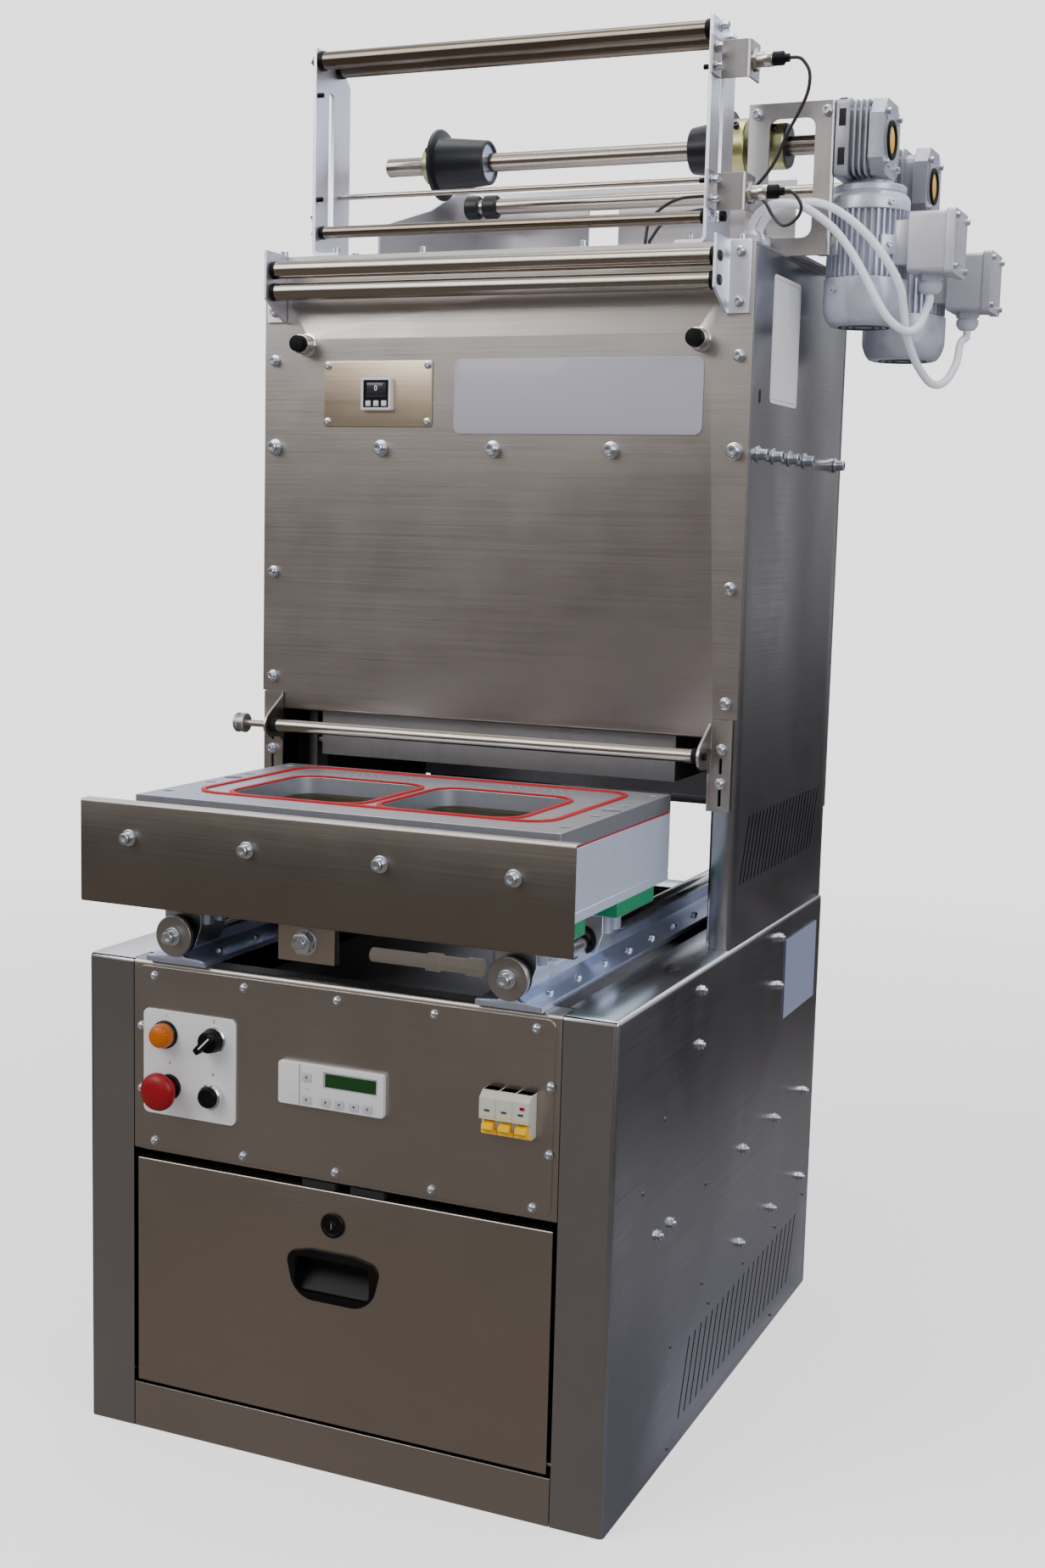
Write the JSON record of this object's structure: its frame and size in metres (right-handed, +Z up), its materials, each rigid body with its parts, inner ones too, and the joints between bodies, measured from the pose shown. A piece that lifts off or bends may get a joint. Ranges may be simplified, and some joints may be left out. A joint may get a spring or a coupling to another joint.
{
  "type": "vacuum tray sealer",
  "caption": "Stainless vacuum tray sealing machine: floor-standing base, sliding two-cavity tool drawer, press column with overhead film unwind and rewind drives.",
  "frame": {"origin": "On the floor, at the middle of the base cabinet's underside", "axes": "+X to the right seen from the front, +Y from the front to the back, +Z up"},
  "size_m": [0.8181, 0.8074, 1.5455],
  "materials": {
    "stainless": "brushed stainless sheet",
    "roller_steel": "ground stainless bar",
    "aluminium": "milled, clear anodised",
    "red_silicone": "moulded silicone",
    "green_polymer": "machined polymer",
    "white_plastic": "moulded, satin",
    "amber_lens": "moulded lens",
    "black_plastic": "moulded",
    "red_plastic": "moulded",
    "grey_paint": "smooth grey paint on castings",
    "gauge_steel": "brushed plate",
    "grey_sheath": "cable sheath",
    "black_sheath": "cable sheath"
  },
  "bodies": {
    "machine": {"base_back_panel": "stainless", "base_left_side": "stainless", "base_right_side": "stainless", "button_plate": "white_plastic", "circuit_breaker": "white_plastic", "column_front_panel": "stainless", "column_left_side": "stainless", "column_right_side": "stainless", "column_top_and_back": "stainless", "control_panel": "stainless", "deck_rear": "stainless", "film_frame_left": "stainless", "film_frame_right": "stainless", "guide_rod": "roller_steel", "head_plate": "stainless", "high_bracket_left": "stainless", "high_bracket_right": "stainless", "low_bracket_left": "stainless", "low_bracket_right": "stainless", "lower_sensor": "stainless", "lower_sensor_cable": "black_sheath", "motor_bracket": "stainless", "operator_panel": "white_plastic", "plinth": "stainless", "rail_left": "stainless", "rail_right": "stainless", "rewind_bracket": "stainless", "rewind_gear_motor": "grey_paint", "rewind_motor_cable": "grey_sheath", "signal_lamp": "amber_lens", "unwind_gear_motor": "grey_paint", "unwind_motor_cable": "grey_sheath", "upper_sensor": "stainless", "upper_sensor_cable": "black_sheath", "vacuum_gauge": "gauge_steel"},
    "drawer": {"tool_plate": "aluminium", "seam_gasket": "red_silicone", "tool_body": "aluminium", "tool_seal": "red_silicone", "carriage_front_left": "green_polymer", "carriage_front_right": "green_polymer", "carriage_rear_left": "green_polymer", "carriage_rear_right": "green_polymer", "drawer_cover": "stainless", "drive_plate": "stainless"},
    "press": {"upper_tool": "aluminium"},
    "door": {"service_door": "stainless"},
    "selector": {"selector_knob": "black_plastic"},
    "emergency": {"emergency_stop": "red_plastic"},
    "push": {"push_button": "black_plastic"},
    "start_left": {"start_button_left": "black_plastic"},
    "start_right": {"start_button_right": "black_plastic"},
    "upper_front": {"upper_front_roller": "roller_steel"},
    "middle_front": {"middle_front_roller": "roller_steel"},
    "lower_front": {"lower_front_roller": "roller_steel"},
    "film_front": {"film_roller_front": "roller_steel"},
    "film_rear": {"film_roller_rear": "roller_steel"},
    "frame_low": {"frame_roller": "roller_steel"},
    "unwind": {"unwind_shaft": "roller_steel"},
    "rewind": {"rewind_shaft": "roller_steel"}
  },
  "joints": [
    {"name": "drawer_travel", "type": "slide", "parent": "machine", "child": "drawer", "axis": [0, 1, 0], "range_m": [0, 0.38]},
    {"name": "press_stroke", "type": "slide", "parent": "machine", "child": "press", "axis": [0, 0, 1], "range_m": [0, 0.03]},
    {"name": "door_hinge", "type": "hinge", "parent": "machine", "child": "door", "pos_m": [0, -0.367, 0.0625], "axis": [1, 0, 0], "range_deg": [0, 85]},
    {"name": "selector_turn", "type": "hinge", "parent": "machine", "child": "selector", "pos_m": [-0.145, -0.3831, 0.453], "axis": [0, -1, 0], "range_deg": [0, 90]},
    {"name": "emergency_press", "type": "slide", "parent": "machine", "child": "emergency", "axis": [0, 1, 0], "range_m": [0, 0.0035], "stiffness_N_per_m": 1500},
    {"name": "push_press", "type": "slide", "parent": "machine", "child": "push", "axis": [0, 1, 0], "range_m": [0, 0.0025], "stiffness_N_per_m": 600},
    {"name": "start_left_press", "type": "slide", "parent": "machine", "child": "start_left", "axis": [0, 1, 0], "range_m": [0, 0.0025], "stiffness_N_per_m": 600},
    {"name": "start_right_press", "type": "slide", "parent": "machine", "child": "start_right", "axis": [0, 1, 0], "range_m": [0, 0.0025], "stiffness_N_per_m": 600},
    {"name": "upper_front_spin", "type": "hinge", "parent": "machine", "child": "upper_front", "pos_m": [0, -0.059, 1.287], "axis": [1, 0, 0], "continuous": true},
    {"name": "middle_front_spin", "type": "hinge", "parent": "machine", "child": "middle_front", "pos_m": [0, -0.059, 1.262], "axis": [1, 0, 0], "continuous": true},
    {"name": "lower_front_spin", "type": "hinge", "parent": "machine", "child": "lower_front", "pos_m": [0, -0.054, 0.751], "axis": [1, 0, 0], "continuous": true},
    {"name": "film_front_spin", "type": "hinge", "parent": "machine", "child": "film_front", "pos_m": [0, -0.007, 1.532], "axis": [1, 0, 0], "continuous": true},
    {"name": "film_rear_spin", "type": "hinge", "parent": "machine", "child": "film_rear", "pos_m": [0, 0.037, 1.532], "axis": [1, 0, 0], "continuous": true},
    {"name": "frame_low_spin", "type": "hinge", "parent": "machine", "child": "frame_low", "pos_m": [0, -0.004, 1.3365], "axis": [1, 0, 0], "continuous": true},
    {"name": "unwind_spin", "type": "hinge", "parent": "machine", "child": "unwind", "pos_m": [0, 0.14, 1.435], "axis": [1, 0, 0], "continuous": true},
    {"name": "rewind_spin", "type": "hinge", "parent": "machine", "child": "rewind", "pos_m": [0, 0.305, 1.411], "axis": [1, 0, 0], "continuous": true}
  ]
}
